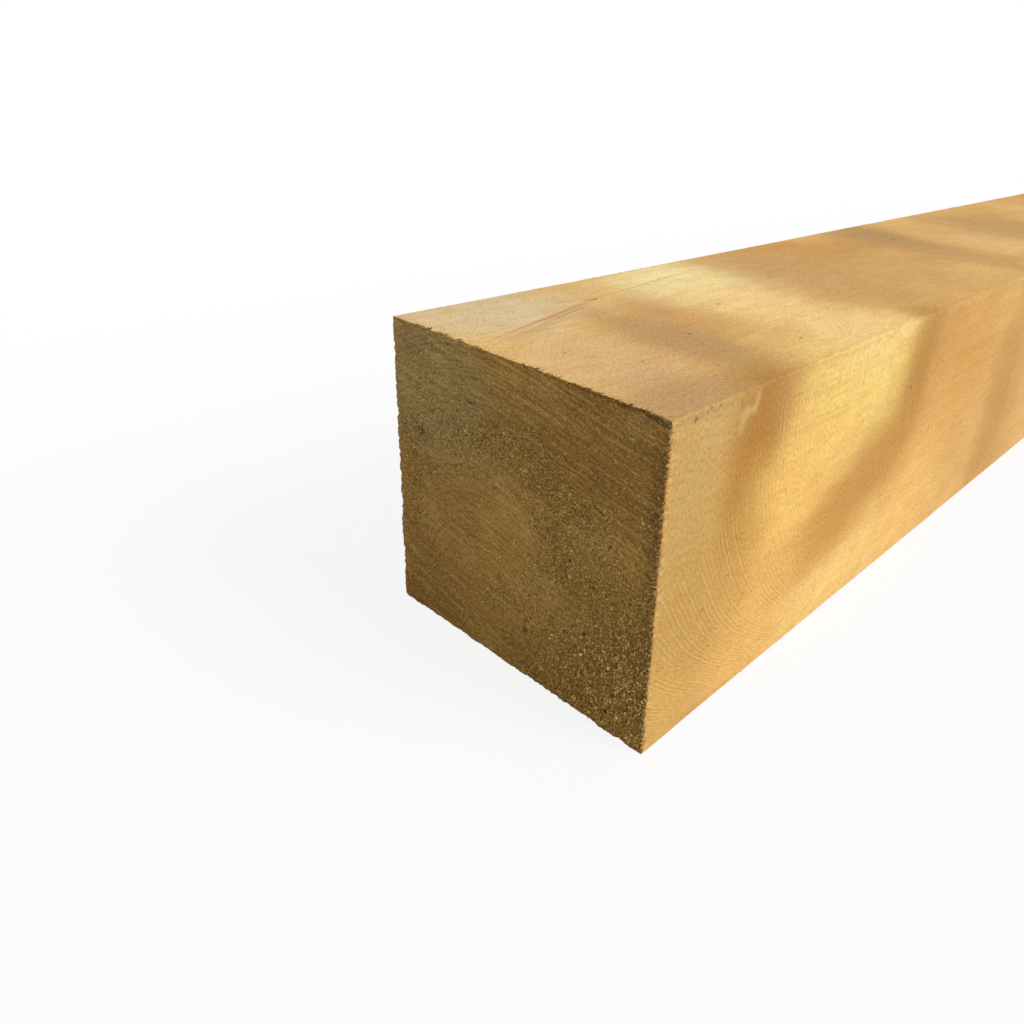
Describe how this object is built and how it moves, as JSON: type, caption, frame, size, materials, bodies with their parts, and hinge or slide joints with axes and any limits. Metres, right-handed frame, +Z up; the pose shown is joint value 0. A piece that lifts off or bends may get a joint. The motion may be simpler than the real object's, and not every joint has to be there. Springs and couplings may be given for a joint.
{
  "type": "timber post",
  "caption": "Square-sawn hardwood post lying on a long face: sharp long arrises, rough chainsawn near end that leans slightly, square-cut far end.",
  "frame": {"origin": "on the floor, under the middle of the post's box", "axes": "+X along the post towards the square-cut end, +Z up; the near end, on -X, is the leaning chainsawn one"},
  "size_m": [2.4, 0.2, 0.2],
  "materials": {
    "post": "rough sawn, bare"
  },
  "bodies": {
    "root": {"post": "post"}
  },
  "joints": []
}
